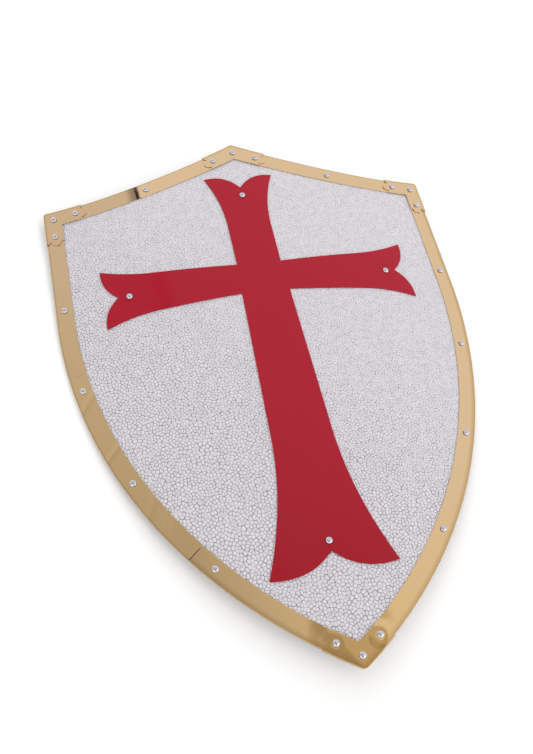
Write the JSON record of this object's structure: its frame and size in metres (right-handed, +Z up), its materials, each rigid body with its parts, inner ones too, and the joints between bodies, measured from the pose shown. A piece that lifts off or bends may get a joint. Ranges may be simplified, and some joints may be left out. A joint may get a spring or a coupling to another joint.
{
  "type": "knight shield",
  "caption": "Rolled steel heater shield, white crackle face with a riveted red cross and a riveted brass rim.",
  "frame": {"origin": "centre of the shield's bounding box, on the floor that it lies on face up", "axes": "+X to the viewer's right when the shield is seen from the front with its peak up, +Y towards the peak, +Z up out of the face"},
  "size_m": [0.4446, 0.5994, 0.0395],
  "materials": {
    "crackle_paint": "white crackle paint",
    "red_enamel": "satin gloss enamel",
    "polished_brass": "polished",
    "polished_steel": "polished"
  },
  "bodies": {
    "root": {"shield_panel": "crackle_paint", "cross_plate": "red_enamel", "trim_right": "polished_brass", "trim_top_right": "polished_brass", "trim_top_left": "polished_brass", "trim_left_upper": "polished_brass", "trim_left_lower": "polished_brass", "plate_top_right": "polished_brass", "plate_peak": "polished_brass", "plate_top_left": "polished_brass", "plate_tip": "polished_brass", "rivet_top_right_1": "polished_steel", "rivet_top_right_2": "polished_steel", "rivet_top_right_3": "polished_steel", "rivet_top_left_1": "polished_steel", "rivet_top_left_2": "polished_steel", "rivet_top_left_3": "polished_steel", "rivet_peak_1": "polished_steel", "rivet_peak_2": "polished_steel", "rivet_peak_3": "polished_steel", "rivet_tip_1": "polished_steel", "rivet_tip_2": "polished_steel", "rivet_tip_3": "polished_steel", "rivet_right_1": "polished_steel", "rivet_right_2": "polished_steel", "rivet_right_3": "polished_steel", "rivet_right_4": "polished_steel", "rivet_right_5": "polished_steel", "rivet_left_1": "polished_steel", "rivet_left_2": "polished_steel", "rivet_left_3": "polished_steel", "rivet_left_4": "polished_steel", "rivet_left_5": "polished_steel", "rivet_cross_top": "polished_steel", "rivet_cross_left": "polished_steel", "rivet_cross_right": "polished_steel", "rivet_cross_foot": "polished_steel"}
  },
  "joints": []
}
